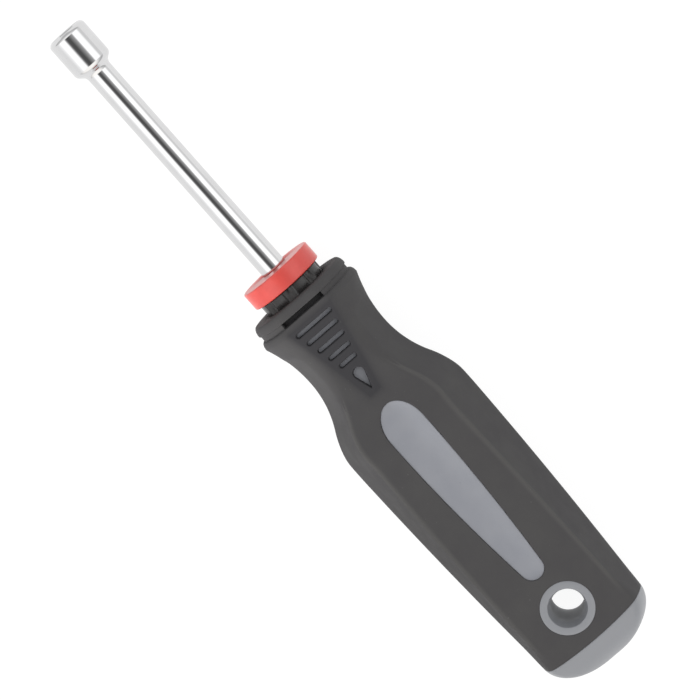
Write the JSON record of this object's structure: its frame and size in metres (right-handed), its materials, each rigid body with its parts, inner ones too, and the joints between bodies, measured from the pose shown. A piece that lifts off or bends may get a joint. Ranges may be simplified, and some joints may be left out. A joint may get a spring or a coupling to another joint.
{
  "type": "nut driver",
  "caption": "Hand nut driver with a hexagonal socket on a round steel shank, a coloured size ring, and a waisted rubber-covered handle with two flat faces and a hanging hole.",
  "frame": {"origin": "middle of the hexagonal socket's mouth, on the drive axis", "axes": "+X along the drive axis, out of the socket; +Z out of the handle's front face, along the hanging hole; +Y across the handle"},
  "size_m": [0.1898, 0.0342, 0.0258],
  "materials": {
    "chrome_steel": "polished chrome plate",
    "red_plastic": "satin moulded plastic",
    "black_plastic": "glossy moulded plastic",
    "black_rubber": "fine-grained soft rubber",
    "grey_plastic": "satin moulded plastic"
  },
  "bodies": {
    "root": {"socket_shank": "chrome_steel", "size_ring": "red_plastic", "handle_core": "black_plastic", "rubber_grip": "black_rubber", "front_inlay": "grey_plastic", "rear_inlay": "grey_plastic", "front_thumb_pad": "grey_plastic", "rear_thumb_pad": "grey_plastic", "hanging_eyelet": "grey_plastic", "end_cap": "grey_plastic"}
  },
  "joints": []
}
